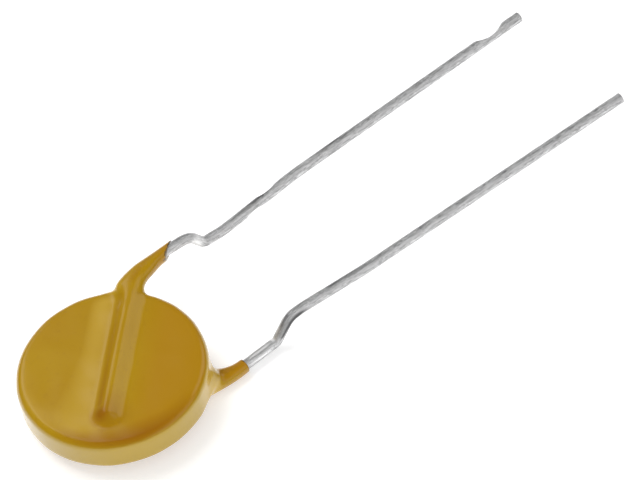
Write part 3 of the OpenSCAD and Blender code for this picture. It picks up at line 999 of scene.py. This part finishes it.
def mesh_numbers(mesh, what):
    """One row of three numbers for each corner: its place ("co") or its normal."""
    flat = np.empty(len(mesh.vertices) * 3)
    mesh.vertices.foreach_get(what, flat)
    return flat.reshape(-1, 3)


def recast(mesh):
    """The mesh as one skin on a fine grid, smoothed, and smoothed most where the legs begin."""
    smooth = dict(factor=SMOOTH_FACTOR, iterations=SMOOTH_ROUNDS)
    skin = with_modifiers(mesh, ("REMESH", dict(mode="VOXEL", voxel_size=CELL), None),
                          ("SMOOTH", smooth, None))
    places = mesh_numbers(skin, "co")
    weights = np.zeros(len(places))
    for back in (False, True):
        root = np.array(turned_over([tuple(on_disc(rim_run)[0])], back)[0])
        off = np.linalg.norm(places - root, axis=1) / FILLET_REACH
        weights = np.maximum(weights, np.clip(1 - off, 0, 1) ** FILLET_FADE)
    fillet = dict(factor=SMOOTH_FACTOR, iterations=FILLET_ROUNDS)
    return with_modifiers(skin, ("SMOOTH", fillet, weights))


coat_mesh = recast(joined("resin_rough", shells))
coat_mesh.name = "resin_coat"
print("resin skin:", len(coat_mesh.polygons), "faces")

# %% [markdown]
# ## Waves and leg ends
# Set resin rises and falls by a few micrometres. A bump in the material would show that only in
# the light, so it is done in the mesh, where it bends the reflections gently. It is held back
# at the legs' ends, where the resin thins to an edge. How near a corner is to such an end is
# kept as a value on the skin, because the resin looks redder there, and its very end carries
# a ragged painted shadow.

# %% Waves and leg ends
WAVES = ((0.012, 1.9), (0.006, 3.7))        # height and pitch, in mm
WAVE_CROSS, WAVE_SLANT, WAVE_LONG = 0.5, 0.7, 0.6
SKIN_IN = 0.01          # how far the skin is drawn in, so that no wave leaves the solid's box
END_FADE = 0.9
END_NEAR = 3            # corners more than this many fades off don't belong to that end


def leg_end(spec, leg, back):
    """A point on the plane that a leg ends in, and that plane's normal."""
    stations, _ = leg_stations(spec, leg)
    point, heading, _ = stations[-1]
    side = sideways(heading)
    way = forwards(heading) + side * leg["slant"] / leg["end_d"]
    end = turned_over([tuple(point + side * leg_lean(leg, 1))], back)[0]
    if back:
        way.x = -way.x
    return np.array(end), np.array(way)


corners = mesh_numbers(coat_mesh, "co")
normals = mesh_numbers(coat_mesh, "normal")
phase = np.random.default_rng(5).uniform(0, tau, (len(WAVES), 6))
lift = np.zeros(len(corners))
for (height, pitch), p in zip(WAVES, phase):
    x, y, z = corners.T / pitch * tau / 2
    lift += height * (np.sin(x + p[0] + np.sin(y + p[1])) * np.sin(y + p[2] + np.sin(x + p[3]))
                      + WAVE_CROSS * np.sin(z + x * WAVE_SLANT + p[4])
                      * np.sin(y * WAVE_LONG + p[5]))

end_share = np.zeros(len(corners))
for spec, leg, back in LEGS:
    end, way = leg_end(spec, leg, back)
    before = (end - corners) @ way
    near = np.linalg.norm(corners - end, axis=1) < END_NEAR * END_FADE
    end_share = np.maximum(end_share, near * np.clip(1 - before / END_FADE, 0, 1))
corners += normals * (lift * (1 - end_share) - SKIN_IN)[:, None]
print(f"waves of up to {np.abs(lift).max() * 1000:.0f} micrometres")

# %% [markdown]
# ## Where the resin is painted darker
# The resin carries painted shade in a bead inside the low edge of the face, in the ditch beside
# each ridge, and at the wire's inner end and a little beyond it, where those slopes would be in
# shade. It is also darker down the middle of each leg.
# Painted by hand, that would be lost with every change of shape. Here each place is a ramp or
# a peak of a corner's distance, so it follows the shape.

# %% Painted rim light and shade
RIM_IN = (0.6, 0.3)             # mm inside the rim where its own tone begins and is full
RIM_OUT = (0.6, 0.1)            # and mm outside it, on a leg
RIM_STEEP = (0.75, 0.25)        # how upright the normal is, in the same way
# The bead is a band just inside the face's edge, painted darker as shade on its low side.
EDGE_SHADE_AT = radians(-24)          # the side where the bead is darkest
EDGE_SHADE_NARROW, EDGE_SHADE_FADE = 1.7, 0.8
BEAD_IN = 0.35                  # the bead's middle, in from the rim
BEAD_W = 0.55
BEAD_SPREAD = 0.5               # how much wider it is on the low side
DITCH_AT, DITCH_HALF = -0.35, 0.35      # across the wire
DITCH_START, DITCH_FADE = (0, 0.5), (8.8, 0.8)      # mm past the wire's inner end
DITCH_TO = 4                            # along the wire, from the crossing
DITCH_DARK, DITCH_LEAST = 0.7, 0.3
INNER_END = (-0.15, -INNER_RUN - 0.15)  # across and along the wire
SPOT, BEYOND = (0.84, 0.14), (1.96, 0.56)   # mm from that end where each begins and is full
BEYOND_SIDE, BEYOND_DARK = (-0.4, 0), 0.5
LEG_LINE_OUT, LEG_LINE_HALF, LEG_LINE_DARK = (0, 0.4), 0.28, 0.4


def ramp(values, start, end):
    """0 at the start and 1 at the end, even between them and level beyond."""
    return np.clip((values - start) / (end - start), 0, 1)


def peak(values, middle, half):
    """1 at the middle, falling evenly to 0 on both sides."""
    return np.clip(1 - np.abs(values - middle) / half, 0, 1)


def off_route(corners, spec, leg, back):
    """How far each corner is from the middle line of a leg, seen from above."""
    stations, _ = leg_stations(spec, leg)
    line = np.array(turned_over([tuple(point) for point, _, _ in stations], back))
    return np.min(np.hypot(corners[:, :1] - line[:, 0], corners[:, 1:2] - line[:, 1]), axis=1)


upright = np.abs(normals[:, 2])
on_front = corners[:, 2] > 0
off_axis = np.hypot(corners[:, 0], corners[:, 1])
round_disc = np.arctan2(corners[:, 1], corners[:, 0])
across, along = np.array([wire_distance(x, y) for x, y, _ in corners]).T
past_end = along + INNER_RUN

# The rim is painted paler, as painted light from the front.
painted_rim_light = ramp(upright, *RIM_STEEP) * ramp(coat_r - off_axis, *RIM_IN)
painted_rim_light *= ramp(off_axis - coat_r, *RIM_OUT)

low_side = np.cos(np.minimum(EDGE_SHADE_NARROW * np.abs(round_disc - EDGE_SHADE_AT), pi / 2))
low_side = low_side ** EDGE_SHADE_FADE
inward = coat_r - BEAD_IN - off_axis
bead = peak(inward, 0, np.where(inward > 0, BEAD_W + BEAD_SPREAD * low_side ** 3, BEAD_W))
ditch = peak(across, DITCH_AT, DITCH_HALF) * ramp(past_end, *DITCH_START)
ditch *= (along < DITCH_TO) * np.maximum(ramp(past_end, *DITCH_FADE), DITCH_LEAST)
wire_end = np.hypot(across - INNER_END[0], along - INNER_END[1])
beyond = ramp(wire_end, *BEYOND) * ramp(across, *BEYOND_SIDE)
# Painted shade: the bead's low side, the ditch, the wire's inner end and beyond it.
painted_shade = on_front * np.max([low_side * bead, DITCH_DARK * ditch, ramp(wire_end, *SPOT),
                            BEYOND_DARK * beyond], axis=0)
for spec, leg, back in LEGS:
    leg_line = peak(off_route(corners, spec, leg, back), 0, LEG_LINE_HALF)
    leg_line *= ramp(off_axis - coat_r, *LEG_LINE_OUT)
    painted_shade = np.maximum(painted_shade, LEG_LINE_DARK * leg_line)
print(f"{(painted_shade > 0.5).mean() * 100:.0f} in 100 corners lie in thick resin")

# %% [markdown]
# ## Where the resin is painted paler
# The resin carries painted highlights: a band to the left of the ridge, which widens towards
# the low end, the outside of the leg's root, where it lifts the shade in the crease, and the
# face's left edge. The right of the face has a tone of its own, and a stretch of the rim is
# painted brighter as a reflection. Each is again a value, and all of them are kept on the skin
# together.

# %% Painted highlights
BAND_AT, BAND_HALF, BAND_GROW = -1.3, 0.75, 0.75    # across the wire
BAND_SHIFT, LOW_END = 0.2, 4
BAND_PALE, BAND_PALER = 0.75, 0.35
BAND_EDGE = (0.35, 0.85)        # mm inside the rim where the band begins and is full
ROOT_AT, ROOT_R, ROOT_PALE = -0.95, 0.65, 1.9
LEFT_AT, LEFT_HALF, LEFT_PALE = radians(-105), radians(35), 0.5
RIGHT_FROM, RIGHT_FULL = 0.9, 2.4       # across the wire
FACE_UPRIGHT = 0.7
RIM_END_AT, RIM_END_HALF = radians(48), 0.4

# Painted highlight: the band beside the ridge, the leg's root and the face's left edge.
low_end = ramp(-along, 0, LOW_END)
band = peak(across + BAND_SHIFT * low_end, BAND_AT, BAND_HALF + BAND_GROW * low_end)
band *= (2 - band) * (BAND_PALE + BAND_PALER * ramp(along, 0, LOW_END))
band *= ramp(coat_r - off_axis, *BAND_EDGE)
leg_root = ROOT_PALE * peak(np.hypot(across - ROOT_AT, along - rim_run), 0, ROOT_R)
left_edge = LEFT_PALE * bead * peak(round_disc, LEFT_AT, LEFT_HALF)
painted_highlight = on_front * np.max([band, leg_root, left_edge], axis=0)
right_side = ramp(across, RIGHT_FROM, RIGHT_FULL) * (upright > FACE_UPRIGHT)
# A bright stretch of the rim near the back leg is a painted reflection.
rim_reflection = peak(round_disc, RIM_END_AT, RIM_END_HALF) * painted_rim_light
keep_values(coat_mesh, {"leg_end": end_share, "painted_rim_light": painted_rim_light, "painted_shade": painted_shade,
                        "painted_highlight": painted_highlight, "right_side": right_side, "rim_reflection": rim_reflection})
print(f"{(painted_highlight > 0.5).mean() * 100:.0f} in 100 corners lie in drained resin")

# %% [markdown]
# ## Place the resin
# The skin was made about the disc's middle, in millimetres. It is now moved to its place on the
# table, in metres, and stands for the plain solid of the coating. The object could be scaled
# instead, but then its fine textures would need scaling too.

# %% Place the resin
places = (corners + np.array(disc_middle)) * MM
coat_mesh.vertices.foreach_set("co", places.ravel())
coat_mesh.update()
coat_mesh.shade_smooth()

resin_coat = add_object("resin_coat", coat_mesh)
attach(resin_coat, "root")
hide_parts("coating")
print("resin from", places.min(axis=0).round(4), "to", places.max(axis=0).round(4), "m")

# %% [markdown]
# ## Ochre resin
# The resin is an opaque ochre filled with mineral powder under a smooth cured surface. Its
# colour drifts and is finely mottled, and each value on the skin adds its tone: a tone of its
# own on the face's right, painted highlights, painted shade, a paler painted rim with a painted
# reflection, and a redder end to each leg, whose very end carries a dark, ragged painted shadow.
# One plain glossy colour would look like a toy, so a clear coat carries the sharp reflection,
# and the colour below it is duller and has a faint grain.

# %% Ochre resin
OCHRE_DEEP, OCHRE_LIGHT = srgb(178, 136, 5), srgb(182, 142, 8)
# The dark end colour is painted shade, the shadow where a leg's thin end meets the wire.
OCHRE_MOTTLE, END_SHADE = srgb(160, 116, 18), srgb(74, 62, 34)
# Each tone is (value on the skin, the value that counts as full, most of the tone, colour).
# Of these, the pale tone is painted highlight, the dark one painted shade, and the two on the rim
# painted light and a painted reflection.
RESIN_TONES = (("right_side", 1.0, 1.0, srgb(180, 132, 3)),
               ("painted_highlight", 1.2, 1.0, srgb(199, 161, 48)),
               ("painted_shade", 1.0, 0.85, srgb(152, 94, 1)),
               ("painted_rim_light", 1.0, 1.0, srgb(186, 154, 42)),
               ("rim_reflection", 1.0, 1.0, srgb(216, 180, 76)),
               ("leg_end", 1.0, 0.5, srgb(174, 120, 18)))
RAGGED = 0.07           # how far the dark end's edge wanders, in leg_end's own scale


def ochre_resin():
    resin = Graph(bpy.data.materials.new("ochre_resin"))
    place = resin.place()
    drift = resin.noise(place, 260, 3, 0.5)
    mottle = resin.noise(place, 2600, 5, 0.65)
    grain = resin.noise(place, 9000, 3, 0.6)
    teeth = resin.noise(place, 6000, 2, 0.5)
    colour = resin.blend(resin.spread(drift, 0.35, 0.65), OCHRE_DEEP, OCHRE_LIGHT)
    colour = resin.blend(resin.spread(mottle, 0.55, 0.75, 0.0, 0.35), colour, OCHRE_MOTTLE)
    for name, full, most, tone in RESIN_TONES:
        share = resin.spread(resin.attribute(name), 0.0, full, 0.0, most)
        colour = resin.blend(share, colour, tone)
    # A leg's very end gets a ragged painted shadow.
    ragged = resin.spread(teeth, 0.3, 0.7, -RAGGED, RAGGED)
    ragged_end_shade = resin.maths("ADD", resin.attribute("leg_end"), ragged)
    colour = resin.blend(resin.spread(ragged_end_shade, 0.88, 0.97, 0.0, 0.85), colour, END_SHADE)
    resin.put(Base_Color=colour, Roughness=resin.spread(mottle, 0.3, 0.7, 0.3, 0.42),
              Specular_IOR_Level=0.1, Coat_Weight=0.9, Coat_Roughness=0.15)
    resin.bump(mottle, 0.12, 0.02)
    resin.bump(grain, 0.1, 0.006)
    print("ochre resin:", len(resin.nodes), "nodes")
    return resin.owner


coat_mesh.materials.clear()
coat_mesh.materials.append(ochre_resin())

# %% [markdown]
# ## What the resin hides
# The ceramic, the silver and the solder are out of sight, but anyone who opens the part up
# should find them finished. Their solids already have the right shapes. Ceramic is matt and
# granular, fired silver is a pale matt film with brush marks, and solder is a brighter metal
# that has set in ripples.

# %% Hidden finishes
def dark_ceramic():
    ceramic = Graph(bpy.data.materials.new("dark_ceramic"))
    place = ceramic.place()
    grains = ceramic.noise(place, 7000, 6, 0.7)
    patches = ceramic.noise(place, 500, 3)
    colour = ceramic.blend(ceramic.spread(grains, 0.35, 0.65), srgb(48, 49, 52), srgb(88, 88, 90))
    colour = ceramic.blend(ceramic.spread(patches, 0.4, 0.7, 0, 0.4), colour, srgb(66, 60, 54))
    ceramic.put(Base_Color=colour, Roughness=0.75)
    ceramic.bump(grains, 0.5, 0.02)
    return ceramic.owner


def fired_silver():
    silver = Graph(bpy.data.materials.new("fired_silver"))
    strokes = silver.noise(silver.stretched(silver.place(), (1, 9, 1)), 900, 4)
    colour = silver.blend(silver.spread(strokes, 0.3, 0.7),
                          srgb(214, 211, 203), srgb(238, 236, 230))
    silver.put(Base_Color=colour, Metallic=1.0, Roughness=0.55)
    silver.bump(strokes, 0.3, 0.008)
    return silver.owner


def set_solder():
    solder = Graph(bpy.data.materials.new("set_solder"))
    ripples = solder.noise(solder.place(), 1500, 2, 0.4)
    colour = solder.blend(solder.spread(ripples, 0.3, 0.7),
                          srgb(170, 171, 174), srgb(205, 206, 208))
    solder.put(Base_Color=colour, Metallic=1.0,
               Roughness=solder.spread(ripples, 0.3, 0.7, 0.25, 0.5))
    solder.bump(ripples, 0.6, 0.03)
    return solder.owner


hidden = {"ceramic_disc": dark_ceramic(), "front_solder": set_solder()}
hidden["front_electrode"] = hidden["back_electrode"] = fired_silver()
hidden["back_solder"] = hidden["front_solder"]
for name, material in hidden.items():
    mesh_slots = frame["nodes"][name].material_slots
    for mesh_slot in mesh_slots:
        mesh_slot.material = material
    print(name, "takes", material.name, "in", len(mesh_slots), "slot")
